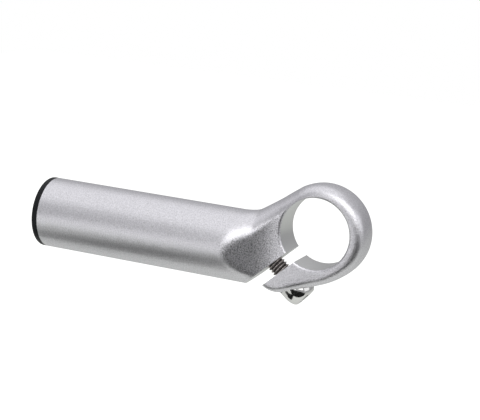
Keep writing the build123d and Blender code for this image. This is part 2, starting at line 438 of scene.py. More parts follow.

# %% [markdown]
# Handling rubs and polishes the edges of a part. A Bevel node knows how far its smoothed normal differs from the true
# one, so the difference is a mask that is strong only beside an edge. Metal and plastic use it with other radii. The
# body takes from it only a smoother roughness; the cap and the washer also take a lighter colour there, which is partly
# wear and partly a painted highlight.

# %% Rubbed edges group
def edge_group():
    """Mask of the places near an edge: one minus the dot product of the rounded normal and the true one, scaled."""
    # Painted highlight, partly wear: where the cap and washer use this mask, their edges get a lighter colour.
    group, source, result = new_group("edge_wear_and_sheen", {"Radius": 0.3, "Gain": 4.0}, ("Mask",))
    radius = calculate(group, "MULTIPLY", source.outputs["Radius"], MM)
    bevel = add_node(group, "ShaderNodeBevel", samples=8, Radius=radius)
    true_normal = add_node(group, "ShaderNodeNewGeometry").outputs["Normal"]
    match = vector_node(group, "DOT_PRODUCT", bevel.outputs[0], true_normal)
    apart = calculate(group, "SUBTRACT", 1.0, match.outputs["Value"])
    scaled = calculate(group, "MULTIPLY", apart, source.outputs["Gain"])
    mask = add_node(group, "ShaderNodeClamp", Value=scaled)
    group.links.new(mask.outputs[0], result.inputs["Mask"])
    return group


EDGE_WEAR_AND_SHEEN = edge_group()
print("group:", EDGE_WEAR_AND_SHEEN.name)

# %% [markdown]
# Other helpers do what the finishes have in common: a tinted colour, a mix of two, a cloudy roughness and dents.

# %% Helpers for finishes
def use_group(tree, group, **values):
    """A group node with its inputs set."""
    return add_node(tree, "ShaderNodeGroup", node_tree=group, **values)


def tint(tree, colour, amount):
    """A colour, brightened or darkened by a value: the colour times the value."""
    node = vector_node(tree, "SCALE", colour)
    tree.links.new(amount, node.inputs["Scale"])
    return node.outputs["Vector"]


def mix_colours(tree, share, first, second):
    """A colour that goes from the first to the second by a share. Each is three numbers or another node's output."""
    node = add_node(tree, "ShaderNodeMix", data_type="RGBA", Factor=share)
    for socket, colour in ((node.inputs[6], first), (node.inputs[7], second)):
        feed(tree, socket, (*colour, 1) if isinstance(colour, tuple) else colour)
    return node.outputs[2]


def cloud(tree, surface, grain, least, spread):
    """Roughness that rises from its least value by the grain's height times the spread."""
    roughness = calculate(tree, "MULTIPLY_ADD", grain.outputs["Height"], spread, least)
    tree.links.new(roughness, surface.inputs["Roughness"])


def dent(tree, surface, grain, strength, depth):
    """Dents of that depth, where the grain's height tilts the normal."""
    bump = add_node(tree, "ShaderNodeBump", Strength=strength, Distance=depth, Height=grain.outputs["Height"])
    tree.links.new(bump.outputs[0], surface.inputs["Normal"])


print("finish helpers ready")

# %% [markdown]
# ## The body's surface
#
# The body is forged, so its forms run into each other with wide soft radii. The surface that stands for the solid here
# is one distance function, because a distance makes a fillet easy: where two surfaces meet, the larger of their
# distances is blended over a width that follows from the radius and from the angle between them. The grip and the neck
# are the crowned side outline, and the scoop on each side is a second surface that cuts into it. All sizes are in
# millimetres. They are the solid's, except that the scoop is a little shorter and fuller and the edges are softer, as
# on the photographed part.

# %% Sizes of the body
GRIP_RADIUS, GRIP_DROP, GRIP_REACH = 11.575, 8.85, 94.2
BORE_RADIUS, HALF_WIDTH, BORE_ROUND = 11.15, 6.0, 0.80
RING_RADIUS, RING_SHIFT = 15.19, 0.8
NECK_RADIUS, NECK_LEAN = 12.5, radians(33)
SCOOP_END, SCOOP_RADIUS, SCOOP_LEAN = -10.5, 24.0, radians(27)
RING_CROWN, CROWN_START = 21.1, -13.0
RIDGE_ROUND, LOWER_ROUND, RING_ROUND, NOSE_ROUND = 8.0, 5.0, 3.6, 1.9
RIDGE_ABOVE, LOWER_BELOW, RING_ROUND_START = 5.0, -7.0, -14.0
GRIP_TOP, GRIP_BOTTOM = GRIP_RADIUS - GRIP_DROP, -GRIP_RADIUS - GRIP_DROP
TOUCH_X, TOUCH_Z = RING_SHIFT - RING_RADIUS * sin(NECK_LEAN), RING_RADIUS * cos(NECK_LEAN)
BLEND_Z = GRIP_TOP + NECK_RADIUS * (1 - cos(NECK_LEAN))
BLEND_END = TOUCH_X - (TOUCH_Z - BLEND_Z) / tan(NECK_LEAN)
BLEND_START = BLEND_END - NECK_RADIUS * sin(NECK_LEAN)
RAY_REACH, HALVINGS = 20.0, 40


def ease(start, end, x):
    """Zero before start, one after end, and a smooth cubic between them."""
    part = np.clip((x - start) / (end - start), 0, 1)
    return part * part * (3 - 2 * part)


def neck_top(x):
    """Height and slope of the top line: the grip, an arc that turns up, a straight line, then the ring's circle."""
    rise = np.clip(x - BLEND_START, 0, NECK_RADIUS * sin(NECK_LEAN))
    arc = np.sqrt(NECK_RADIUS**2 - rise**2)
    past = np.clip(x, TOUCH_X, RING_SHIFT) - RING_SHIFT
    circle = np.sqrt(RING_RADIUS**2 - past**2)
    line = np.clip(x, BLEND_END, TOUCH_X) - BLEND_END
    height = GRIP_TOP + NECK_RADIUS - arc + line * tan(NECK_LEAN) + circle - TOUCH_Z
    slope = np.where(x < BLEND_END, rise / arc, np.where(x < TOUCH_X, tan(NECK_LEAN), -past / circle))
    return height, slope


def scoop_side(x):
    """Half width and its slope: flat beside the ring, then an arc, then a straight slope outwards."""
    back = np.clip(SCOOP_END - x, 0, None)
    arc = np.minimum(back, SCOOP_RADIUS * sin(SCOOP_LEAN))
    drop = np.sqrt(SCOOP_RADIUS**2 - arc**2)
    return HALF_WIDTH + SCOOP_RADIUS - drop + (back - arc) * tan(SCOOP_LEAN), -arc / drop


def crowned(depth, across, crown):
    """Distance outside a crowned strip, from the depth below its outline and the place across its width.

    The crown is a circle of that radius whose top touches the outline. A radius equal to the grip's gives the grip.
    """
    below = np.maximum(crown - depth, 0)
    return np.hypot(across, below) - crown, below / np.maximum(np.hypot(across, below), 1e-9)


def filleted(first, second, match, radius):
    """The larger of two distances, blended as a fillet of that radius.

    Match is the cosine of the angle between the two normals. The blend is four radii times one minus the cosine of half
    that angle wide, and adds the square of what is left of that width, divided by four widths.
    """
    width = 4 * radius * (1 - np.sqrt((1 + np.clip(match, -1, 1)) / 2)) + 1e-6
    return np.maximum(first, second) + np.maximum(width - np.abs(first - second), 0) ** 2 / (4 * width)


def neck_distance(x, y, z):
    """Distance outside the grip and neck at any point.

    The crown goes from the grip's radius to the ring's along X. The edge's radius grows with height, and goes over to
    the ring's along X.
    """
    top, slope = neck_top(x)
    side, side_slope = scoop_side(x)
    level, side_level = 1 / np.hypot(1, slope), 1 / np.hypot(1, side_slope)
    above, below = (top - z) * level, z - GRIP_BOTTOM
    crown = GRIP_RADIUS + (RING_CROWN - GRIP_RADIUS) * ease(CROWN_START, RING_SHIFT, x)
    outside, upright = crowned(np.minimum(above, below), y, crown)
    scoop = (np.abs(y) - side) * side_level
    sideways = np.sqrt(1 - upright**2)
    lengthways = np.where(above < below, upright * slope * level, 0)
    match = sideways * side_level + lengthways * side_slope * side_level
    middle = (top + GRIP_BOTTOM) / 2
    radius = LOWER_ROUND + (RIDGE_ROUND - LOWER_ROUND) * ease(LOWER_BELOW, RIDGE_ABOVE, z - middle)
    radius = radius + (RING_ROUND - radius) * ease(RING_ROUND_START, RING_SHIFT, x)
    return filleted(outside, scoop, match, radius)


def rim_distance(y, depth, corner):
    """Distance outside the ring's section at a depth below its outline."""
    outside, upright = crowned(depth, y, RING_CROWN)
    return filleted(outside, np.abs(y) - HALF_WIDTH, np.sqrt(1 - upright**2), corner)


def find_surface(distance, start, heading):
    """Where each ray leaves the shape: the distance changes sign there, and halving the interval finds the place."""
    low, high = np.zeros(start.shape[:-1]), np.full(start.shape[:-1], RAY_REACH)
    for _ in range(HALVINGS):
        middle = (low + high) / 2
        inside = distance(*np.moveaxis(start + middle[..., None] * heading, -1, 0)) < 0
        low, high = np.where(inside, middle, low), np.where(inside, high, middle)
    return start + low[..., None] * heading


print("neck top line turns up at x %.1f mm and meets the ring at x %.1f mm" % (BLEND_START, TOUCH_X))

# %% [markdown]
# The grip and neck are a stack of loops, one at each station along X. Rays in the plane of a loop look for the
# surface: a fan over the top, level rays down both sides, and a fan below. The fans stand a fixed depth under the
# outline, so the last loop has exactly the points of the ring's first section.

# %% Grid of the grip and neck
FAN_DEPTH = 4.5
FAN_STEPS, SIDE_STEPS = 56, 26
DENSE_START, GRIP_LOOPS, NECK_LOOPS = -34.0, 16, 88


def fan_directions():
    """Directions across and up over a half turn, spread by the square roots of cosine and sine towards the corners."""
    turn = np.linspace(0, np.pi, FAN_STEPS + 1)
    across = np.sign(np.cos(turn)) * np.sqrt(np.abs(np.cos(turn))) * HALF_WIDTH
    up = np.sqrt(np.sin(turn).clip(0)) * FAN_DEPTH
    return across / np.hypot(across, up), up / np.hypot(across, up)


def neck_grid():
    """Loops of points from the cap's seat to the middle of the ring."""
    grip = np.linspace(-GRIP_REACH, DENSE_START, GRIP_LOOPS)[:-1]
    x = np.concatenate([grip, np.linspace(DENSE_START, RING_SHIFT, NECK_LOOPS)])
    top, _ = neck_top(x)
    across, up = fan_directions()
    level = np.ones(SIDE_STEPS)
    share = np.linspace(0, 1, SIDE_STEPS + 2)[1:-1]
    y_heading = np.concatenate([across, -level, across[::-1], level])
    z_heading = np.concatenate([up, 0 * level, -up, 0 * level])
    down = np.concatenate([0 * up, share, 0 * up + 1, share[::-1]])
    high, low = top[:, None] - FAN_DEPTH, GRIP_BOTTOM + FAN_DEPTH
    z_start = high + (low - high) * down
    start = np.stack([x[:, None] + 0 * z_start, 0 * z_start, z_start], axis=-1)
    heading = np.stack([0 * y_heading, y_heading, z_heading], axis=-1) + 0 * start
    return find_surface(neck_distance, start, heading)


neck_points = neck_grid()
print("neck grid:", neck_points.shape)

# %% [markdown]
# The ring and the jaw are the same section carried round their outline: the ring's arc, a wider arc, a straight line
# below the bore, and the round heel of the jaw. The corner radius tightens on the way.

# %% Outline of the ring and jaw
JAW_LEAN, JAW_FLARE, FLARE_RADIUS = radians(20.2 - 90), 0.88, 26.0
HEEL_RADIUS, HEEL_SHIFT = 8.2, 0.3
SLOT_ANGLE, SLOT_RISE, SLOT_WIDTH = radians(43.3), 0.62, 3.75
BOLT_FOOT = np.array([-11.924, -14.21])
RING_STEPS, FLARE_STEPS, LINE_STEPS, HEEL_STEPS = 96, 24, 12, 36


def arc_points(centre, radius, angles):
    """Points of an arc: its centre plus its radius towards each angle."""
    return centre + radius * np.stack([np.cos(angles), np.sin(angles)], axis=-1)


def outline():
    """Points and outward angles along the outline.

    Two arcs meet in line where both centres and the meeting point lie on one line. The straight line stands off the
    centres of the wider arc and the heel by their radii.
    """
    change = JAW_LEAN + np.arccos(1 - JAW_FLARE / (FLARE_RADIUS - RING_RADIUS))
    along = np.array([cos(JAW_LEAN), sin(JAW_LEAN)])
    ring_centre = np.array([RING_SHIFT, 0])
    flare_centre = arc_points(ring_centre, RING_RADIUS - FLARE_RADIUS, change)
    support = FLARE_RADIUS + flare_centre @ along
    heel_x = BOLT_FOOT[0] + HEEL_SHIFT
    heel_centre = np.array([heel_x, (support - HEEL_RADIUS - heel_x * along[0]) / along[1]])
    ring_angle = np.linspace(np.pi / 2, change, RING_STEPS)
    flare_angle = np.linspace(change, JAW_LEAN, FLARE_STEPS)[1:]
    heel_angle = np.linspace(JAW_LEAN, SLOT_ANGLE - np.pi, HEEL_STEPS)
    flare = arc_points(flare_centre, FLARE_RADIUS, flare_angle)
    heel = arc_points(heel_centre, HEEL_RADIUS, heel_angle)
    part = np.linspace(0, 1, LINE_STEPS)[1:-1, None]
    line = flare[-1] + part * (heel[0] - flare[-1])
    points = np.vstack([arc_points(ring_centre, RING_RADIUS, ring_angle), flare, line, heel])
    return points, np.concatenate([ring_angle, flare_angle, np.full(len(line), JAW_LEAN), heel_angle])


def rim_grid():
    """Sections round the outline, each closed by a line through the ring's centre."""
    points, angles = outline()
    length = np.concatenate([[0], np.cumsum(np.linalg.norm(np.diff(points, axis=0), axis=1))])
    corner = RING_ROUND + (NOSE_ROUND - RING_ROUND) * length / length[-1]
    across, up = fan_directions()
    start = np.stack([0 * across, 0 * across - FAN_DEPTH], axis=-1) + np.zeros((len(points), 1, 2))
    heading = np.stack([across, up], axis=-1) + 0 * start
    found = find_surface(lambda y, z: rim_distance(y, -z, corner[:, None]), start, heading)
    x = points[:, :1] + np.cos(angles)[:, None] * found[..., 1]
    z = points[:, 1:] + np.sin(angles)[:, None] * found[..., 1]
    rim = np.stack([x, found[..., 0], z], axis=-1)
    side = np.array([RING_SHIFT, HALF_WIDTH, 0.0]) + np.zeros((len(points), 1, 3))
    return np.concatenate([side, rim, side * (1, -1, 1)], axis=1)


rim_points = rim_grid()
print("rim grid:", rim_points.shape)

# %% [markdown]
# The forging is then machined, and Boolean modifiers do that here too. Each cutter is a small closed mesh: a side
# outline with a width, or a profile turned round an axis.

# %% Closed meshes
PRISM_HALF_WIDTH = 20.0
NEARLY_ALONG_Y = 0.9
MERGE_DISTANCE = 0.001 * MM


def closed_mesh(name, grid):
    """A smooth closed mesh from a stack of loops in metres.

    A flat face closes the first and the last loop, unless the loop has shrunk to a point and merging closes it.
    """
    points = grid.reshape(-1, 3)
    index = np.arange(len(points)).reshape(grid.shape[:2])
    faces = grid_faces(np.hstack([index, index[:, :1]]))
    faces += [loop.tolist() for loop in (index[0], index[-1][::-1]) if np.ptp(points[loop], axis=0).any()]
    mesh = bpy.data.meshes.new(name)
    mesh.from_pydata(points.tolist(), [], faces)
    work = bmesh.new()
    work.from_mesh(mesh)
    bmesh.ops.remove_doubles(work, verts=work.verts, dist=MERGE_DISTANCE)
    bmesh.ops.recalc_face_normals(work, faces=work.faces)
    work.to_mesh(mesh)
    work.free()
    mesh.shade_smooth()
    return mesh


def prism(corners):
    """Two loops: a side outline at both ends of a width."""
    corners = np.array(corners, float)
    return np.stack([np.insert(corners, 1, side * PRISM_HALF_WIDTH, axis=1) for side in (-1, 1)])


def turned(profile, origin, axis, sides, stretch=1.0):
    """Grid of points of a profile carried round an axis, one row for each (along, radius) pair of the profile.

    A point is the origin, plus the axis times the distance along it, plus the radius times the cosine of the angle
    along one direction across the axis and its sine along the other. Stretch multiplies the radius.
    """
    profile = np.array(profile, float)
    axis = np.array(axis, float) / np.linalg.norm(axis)
    first = np.cross(axis, (0.0, 1.0, 0.0)) if abs(axis[1]) < NEARLY_ALONG_Y else np.array((1.0, 0.0, 0.0))
    first /= np.linalg.norm(first)
    second = np.cross(axis, first)
    angles = np.linspace(0, tau, sides, endpoint=False)
    spin = np.cos(angles)[:, None] * first + np.sin(angles)[:, None] * second
    radius = profile[:, 1, None] * (np.ones((1, sides)) * stretch)
    return np.array(origin) + profile[:, 0, None, None] * axis + radius[..., None] * spin


def slot_point(along, across):
    """A point of the side view, measured outwards along the slot and up across it from the bore's centre."""
    return (
        -along * cos(SLOT_ANGLE) - across * sin(SLOT_ANGLE),
        -along * sin(SLOT_ANGLE) + across * cos(SLOT_ANGLE),
    )


print("merging points within %.4f mm" % (MERGE_DISTANCE / MM))

# %% Cutters
REACH, NECK_CUT_X = 120.0, 12.0
HOLLOW_RADIUS, HOLLOW_END = 9.275, -32.6
SEAT_RUN, SEAT_RADIUS, CLEAR_RADIUS, TAP_RADIUS, TAP_END = 5.122, 5.2, 3.3, 3.05, -16.478
BOLT_AXIS = (0.766044, 0.0, -0.642788)
BOLT_START = (BOLT_FOOT[0], 0.0, BOLT_FOOT[1])
PAST_BORE, PAST_HOLLOW, PAST_SEAT, PAST_CLEAR, PAST_TAP = 1.0, 2.0, 12.0, 1.0, 0.5
BORE_SIDES, ROD_SIDES, LIP_POINTS = 256, 96, 7
LOWER_SLOT = SLOT_RISE - SLOT_WIDTH


def drill(start, end, radius):
    """A rod on the bolt's axis between two distances from its foot."""
    return turned([(start, radius), (end, radius)], BOLT_START, BOLT_AXIS, ROD_SIDES)


below_neck = [slot_point(0, SLOT_RISE), slot_point(REACH, SLOT_RISE), (0, -2 * REACH), (NECK_CUT_X, 0)]
slot_sides = [slot_point(along, across) for along, across in (
    (0, SLOT_RISE), (REACH, SLOT_RISE), (REACH, LOWER_SLOT), (0, LOWER_SLOT),
)]
lip = [
    (BORE_ROUND * (1 - sin(turn)) - HALF_WIDTH, BORE_RADIUS + BORE_ROUND * (1 - cos(turn)))
    for turn in np.linspace(tau / 4, 0, LIP_POINTS)
]
mouth = [(-HALF_WIDTH - PAST_BORE, BORE_RADIUS + BORE_ROUND)] + lip
bore_steps = mouth + [(-along, radius) for along, radius in mouth[::-1]]
hollow_steps = [(-PAST_HOLLOW, HOLLOW_RADIUS), (GRIP_REACH + HOLLOW_END, HOLLOW_RADIUS)]
cutters = {
    "bore": turned(bore_steps, (0, 0, 0), (0, 1, 0), BORE_SIDES),
    "slot": prism(slot_sides),
    "hollow": turned(hollow_steps, (-GRIP_REACH, 0, -GRIP_DROP), (1, 0, 0), ROD_SIDES),
    "seat": drill(SEAT_RUN, SEAT_RUN + PAST_SEAT, SEAT_RADIUS),
    "clear_hole": drill(0, SEAT_RUN + PAST_CLEAR, CLEAR_RADIUS),
    "tapped_hole": drill(TAP_END, PAST_TAP, TAP_RADIUS),
}
print("cutters:", sorted(cutters))

# %% Cut and join the body
SHARP_ANGLE = radians(32)


def operate(target, operand, operation):
    """Applies one Boolean operation and drops the operand."""
    step = target.modifiers.new(operation.lower(), "BOOLEAN")
    step.operation, step.solver, step.object = operation, "EXACT", operand
    bpy.context.view_layer.update()
    result = bpy.data.meshes.new_from_object(target.evaluated_get(bpy.context.evaluated_depsgraph_get()))
    target.modifiers.clear()
    target.data = result
    bpy.data.objects.remove(operand)


def millimetre_object(name, grid):
    """An object from a stack of loops in millimetres."""
    return add_object(name, closed_mesh(name, grid * MM))


forged_body = millimetre_object("forged_body", neck_points)
operate(forged_body, millimetre_object("below_neck", prism(below_neck)), "DIFFERENCE")
operate(forged_body, millimetre_object("rim", rim_points), "UNION")
for name, grid in cutters.items():
    operate(forged_body, millimetre_object(name, grid), "DIFFERENCE")
forged_body.data.shade_smooth()
forged_body.data.set_sharp_from_angle(angle=SHARP_ANGLE)
print("body faces:", len(forged_body.data.polygons))

# %% [markdown]
# ## Blasted aluminium
#
# The body is forged, machined, blasted with fine beads and anodised clear. It is a satin metal: the lobe of its
# reflection is wide, and each dent tilts it a little, which sparkles where light meets dark. The bore and the faces of
# the slot were cut after the blasting, so they are smoother. Their mask is worked out from Object coordinates: the bore
# is within its radius of the Y axis, and the faces of the slot are two parallel planes. The scoops show a stronger
# speckle than the grip, so they get a mask too.

# %% Aluminium
ALUMINIUM = (0.70, 0.693, 0.720)
CUT_ALUMINIUM = (0.74, 0.745, 0.735)
BLASTED_ROUGHNESS, CUT_ROUGHNESS, EDGE_POLISH = 0.35, 0.32, 0.10
GRIP_SPECKLE, SCOOP_SPECKLE = 0.7, 2.3
DENT_DEPTH = 0.06 * MM
CUT_MARGIN = 0.03
SCOOP_TILT = (0.32, 0.06)
SCOOP_FROM = (-30.0 * MM, -26.5 * MM)
SCOOP_TO = (-6.0 * MM, -15.0 * MM)


def body_places(tree):
    """X and Z of the shaded point, and how far up across the slot it lies from the bore's centre."""
    coordinates = add_node(tree, "ShaderNodeTexCoord").outputs["Object"]
    parts = add_node(tree, "ShaderNodeSeparateXYZ", Vector=coordinates)
    x, z = parts.outputs["X"], parts.outputs["Z"]
    shift = calculate(tree, "MULTIPLY", x, -sin(SLOT_ANGLE))
    return x, z, calculate(tree, "MULTIPLY_ADD", z, cos(SLOT_ANGLE), shift)


def cut_mask(tree, x, z, across):
    """One on the bore's wall and on both faces of the slot, and zero elsewhere."""
    reach = calculate(tree, "SQRT", calculate(tree, "MULTIPLY_ADD", x, x, calculate(tree, "MULTIPLY", z, z)))
    mask = calculate(tree, "LESS_THAN", reach, (BORE_RADIUS + CUT_MARGIN) * MM)
    for face in (SLOT_RISE, LOWER_SLOT):
        on_face = calculate(tree, "COMPARE", across, face * MM, CUT_MARGIN * MM)
        before_bore = calculate(tree, "MULTIPLY", on_face, calculate(tree, "LESS_THAN", x, 0.0))
        mask = calculate(tree, "MAXIMUM", mask, before_bore)
    return mask


def scoop_mask(tree, x, across):
    """One in the scoops, which lie above the slot and between two places along X and face level, and zero elsewhere."""
    normal = add_node(tree, "ShaderNodeNewGeometry").outputs["Normal"]
    tilt = calculate(tree, "ABSOLUTE", add_node(tree, "ShaderNodeSeparateXYZ", Vector=normal).outputs["Z"])
    mask = calculate(tree, "GREATER_THAN", across, (SLOT_RISE - CUT_MARGIN) * MM)
    for value, (none, full) in ((tilt, SCOOP_TILT), (x, SCOOP_FROM), (x, SCOOP_TO)):
        mask = calculate(tree, "MULTIPLY", ramp(tree, value, none, full), mask)
    return mask


def aluminium():
    """Satin metal with a blasted grain, smoother where it was cut, brighter along its edges."""
    material, tree, surface = new_material("blasted_aluminium", Metallic=1.0)
    x, z, across = body_places(tree)
    scoop, cut = scoop_mask(tree, x, across), cut_mask(tree, x, z, across)
    speckle = calculate(tree, "MULTIPLY_ADD", scoop, SCOOP_SPECKLE - GRIP_SPECKLE, GRIP_SPECKLE)
    grain = use_group(tree, FINE_GRAIN, Size=0.36, Coarse_Share=0.12, Tone_Range=speckle)
    colour = mix_colours(tree, cut, tint(tree, ALUMINIUM, grain.outputs["Tone"]), CUT_ALUMINIUM)
    tree.links.new(colour, surface.inputs["Base Color"])
    edges = use_group(tree, EDGE_WEAR_AND_SHEEN, Radius=0.30, Gain=3.0)
    roughness = calculate(tree, "MULTIPLY_ADD", cut, CUT_ROUGHNESS - BLASTED_ROUGHNESS, BLASTED_ROUGHNESS)
    roughness = calculate(tree, "MULTIPLY_ADD", edges.outputs["Mask"], -EDGE_POLISH, roughness)
    tree.links.new(roughness, surface.inputs["Roughness"])
    dent(tree, surface, grain, strength=calculate(tree, "SUBTRACT", 1.0, cut), depth=DENT_DEPTH)
    return material


def stand_for(piece, body, node):
    """A piece rides on a body and stands for a solid, which is hidden."""
    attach(piece, body)
    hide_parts(node)
    return piece


forged_body.data.materials.clear()
forged_body.data.materials.append(aluminium())
print("finished:", stand_for(forged_body, "bar_end", "body").name)

# %% [markdown]
# ## Turned pieces
#
# The cap and the screw are turned: each is a profile carried round an axis. Real corners have a tiny radius that
# catches the light, so a profile is a few corner points with a radius each, and a function puts the arcs in.

# %% Profiles with rounded corners
ARC_STEPS = 6
NEARLY_STRAIGHT = 1.56


def rounded(corners):
    """A profile with its corners rounded.

    Each corner is (along, radius, rounding). Its two tangent points lie on the lines to its neighbours, at the rounding
    divided by the tangent of half the angle between them. The arc between them is a circle about the point that stands
    off the corner on the bisector, and the steps turn evenly from one tangent point to the other.
    """
    points = np.array([corner[:2] for corner in corners], float)
    rows = [points[:1]]
    for before, here, after, corner in zip(points[:-2], points[1:-1], points[2:], corners[1:-1]):
        back, ahead = before - here, after - here
        back, ahead = back / np.linalg.norm(back), ahead / np.linalg.norm(ahead)
        half = np.arccos(np.clip(back @ ahead, -1, 1)) / 2
        if corner[2] == 0 or half > NEARLY_STRAIGHT:
            rows.append(here[None])
            continue
        bisector = (back + ahead) / np.linalg.norm(back + ahead)
        centre = here + bisector * corner[2] / np.sin(half)
        start, end = here + back * corner[2] / np.tan(half), here + ahead * corner[2] / np.tan(half)
        part = np.linspace(0, 1, ARC_STEPS + 1)[:, None]
        turn = np.pi - 2 * half
        spread = (np.sin((1 - part) * turn) * (start - centre) + np.sin(part * turn) * (end - centre)) / np.sin(turn)
        rows.append(centre + spread)
    rows.append(points[-1:])
    return np.vstack(rows)


print("profile helper ready")

# %% [markdown]
# ## The end cap
#
# The cap is moulded in black plastic: a disc with a rolled rim, over a hollow plug with a barb that grips the tube. The
# rim's radius is too fine for the solid, which has a chamfer there, and it catches a thin line of light. The diameter
# and the place come from the solid.

# %% End cap
cap_low, cap_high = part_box("end_cap")
CAP_RADIUS = (cap_high.z - cap_low.z) / 2
CAP_SEAT = -GRIP_REACH * MM
CAP_RIM = 0.70 * MM
CAP_CROWN = 0.15 * MM
CAP_FLAT = 0.55 * CAP_RADIUS
CAP_SIDES = 96
PLUG_RADIUS = CAP_RADIUS - 2.55 * MM
PLUG_WALL = 1.6 * MM
BARB_HEIGHT = 0.20 * MM
BARB_WIDTH = 3.0 * MM
SMALL_ROUND = 0.10 * MM
PLASTIC = (0.0040, 0.0052, 0.0068)
# Grey of the cap's edges: part wear, part painted highlight.
PLASTIC_EDGE_WEAR_AND_SHEEN = (0.022, 0.024, 0.027)


def cap_profile():
    """From the middle of the outer face over the rim, in to the plug, down over its barb and back up inside it."""
    face, plug_end = CAP_SEAT - cap_low.x, CAP_SEAT - cap_high.x
    return rounded([
        (face, 0, 0),
        (face, CAP_FLAT, 0),
        (face - CAP_CROWN, CAP_RADIUS, CAP_RIM),
        (0, CAP_RADIUS, SMALL_ROUND),
        (0, PLUG_RADIUS, 0),
        (plug_end + BARB_WIDTH, PLUG_RADIUS, 0),
        (plug_end + BARB_WIDTH, PLUG_RADIUS + BARB_HEIGHT, SMALL_ROUND / 4),
        (plug_end, PLUG_RADIUS, SMALL_ROUND),
        (plug_end, PLUG_RADIUS - PLUG_WALL, SMALL_ROUND),
        (0, PLUG_RADIUS - PLUG_WALL, SMALL_ROUND),
        (0, 0, 0),
    ])


def black_plastic():
    """Moulded black plastic: fine grain, a tone that varies a little, and grey edges: part wear, part painted
    highlight.
    """
    material, tree, surface = new_material("black_plastic", Specular_IOR_Level=0.22)
    grain = use_group(tree, FINE_GRAIN, Size=0.30, Coarse_Share=0.6, Tone_Range=0.5)
    edges = use_group(tree, EDGE_WEAR_AND_SHEEN, Radius=0.25, Gain=2.0)
    # The edges go grey: part wear, part painted highlight.
    colour = mix_colours(tree, edges.outputs["Mask"], tint(tree, PLASTIC, grain.outputs["Tone"]), PLASTIC_EDGE_WEAR_AND_SHEEN)
    tree.links.new(colour, surface.inputs["Base Color"])
    cloud(tree, surface, grain, least=0.34, spread=0.12)
    dent(tree, surface, grain, strength=0.5, depth=0.02 * MM)
    return material


cap_centre = (CAP_SEAT, 0, (cap_low.z + cap_high.z) / 2)
cap_mesh = closed_mesh("grip_cap", turned(cap_profile(), cap_centre, (-1, 0, 0), CAP_SIDES))
cap_mesh.materials.append(black_plastic())
stand_for(add_object("grip_cap", cap_mesh), "bar_end", "end_cap")
print("cap faces:", len(cap_mesh.polygons), "radius %.2f mm" % (CAP_RADIUS / MM))

# %% [markdown]
# ## The clamp screw
#
# The screw is an M6 with a pitch of 1 mm. Its head is chromed and domed, with a hexagon socket for a key, and its
# thread is dark with oil. A thread is a profile whose radius also depends on the angle: the crest lies where the
# distance along the axis, less the turned share of a pitch, is a whole number of pitches. So one grid gives the whole
# screw. Its axis comes from the joint, and its ends from the solid.

# %% Places along the screw
turn_joint = next(joint for joint in frame["joints"] if joint["name"] == "bolt_turn")
SCREW_ORIGIN = np.array(turn_joint["pos_m"])
SCREW_AXIS = np.array(turn_joint["axis"]) / np.linalg.norm(turn_joint["axis"])
solid = frame["nodes"]["clamp_bolt"].data
corners = np.zeros(len(solid.vertices) * 3)
solid.vertices.foreach_get("co", corners)
along = (corners.reshape(-1, 3) - SCREW_ORIGIN) @ SCREW_AXIS
SCREW_END, SCREW_POINT = along.max(), along.min()
print("screw from %.2f to %.2f mm along its axis" % (SCREW_POINT / MM, SCREW_END / MM))

# %% Clamp screw
HEAD_RADIUS = 5.0 * MM
HEAD_HEIGHT = 6.0 * MM
HEAD_DOME = 4.1 * MM
HEAD_FLAT = 3.05 * MM
SOCKET_HALF = 2.5 * MM
SOCKET_DEPTH = 3.0 * MM
SOCKET_LEAD = 0.25 * MM
SKIRT_HEIGHT = 1.0 * MM
DOME_STEPS = 22
SHANK_RADIUS = 2.95 * MM
THREAD_DEPTH = 0.60 * MM
THREAD_PITCH = 1.0 * MM
THREAD_FLAT = 0.14
THREAD_RUN_OUT = 1.5 * MM
THREAD_DELAY = 0.4
SCREW_TIP = 0.8 * MM
TIP_SLOPE, TIP_SHARE = 0.9, 0.6
SCREW_SIDES = 72
THREAD_ROWS = 16


def head_rows():
    """The head from the middle of the socket, up its walls, over the dome and in under the head.

    The dome is a quarter of an ellipse, as tall as HEAD_DOME and as wide as what the flat end leaves of the head.
    """
    under = SCREW_END - HEAD_HEIGHT
    floor = SCREW_END - SOCKET_DEPTH
    socket = rounded([(floor, 0, 0), (floor, SOCKET_HALF, SMALL_ROUND), (SCREW_END - SOCKET_LEAD, SOCKET_HALF, 0)])
    turn = np.linspace(0, np.pi / 2, DOME_STEPS)
    dome = np.stack([
        SCREW_END - HEAD_DOME * (1 - np.cos(turn)),
        HEAD_FLAT + (HEAD_RADIUS - HEAD_FLAT) * np.sin(turn),
    ], axis=-1)
    skirt = rounded([
        (under + SKIRT_HEIGHT, HEAD_RADIUS, 0), (under, HEAD_RADIUS, 2 * SMALL_ROUND), (under, SHANK_RADIUS, 0),
    ])
    return socket, np.vstack([dome, skirt])


def thread_rows():
    """Distances from under the head to the point, with the radius of a plain shank, and how deep the thread is there.

    The depth fades in over the run-out below the head, and the last stretch narrows in a cone to the point.
    """
    under = SCREW_END - HEAD_HEIGHT
    count = int(round((under - SCREW_POINT) / THREAD_PITCH * THREAD_ROWS))
    distance = np.linspace(under, SCREW_POINT, count)
    cone = np.clip(1 - (distance - SCREW_POINT) / SCREW_TIP, 0, 1)
    plain = SHANK_RADIUS - cone * SCREW_TIP * TIP_SLOPE
    fade = np.clip((under - distance) / THREAD_RUN_OUT - THREAD_DELAY, 0, 1)
    return distance, plain, fade * THREAD_DEPTH * (1 - TIP_SHARE * cone)


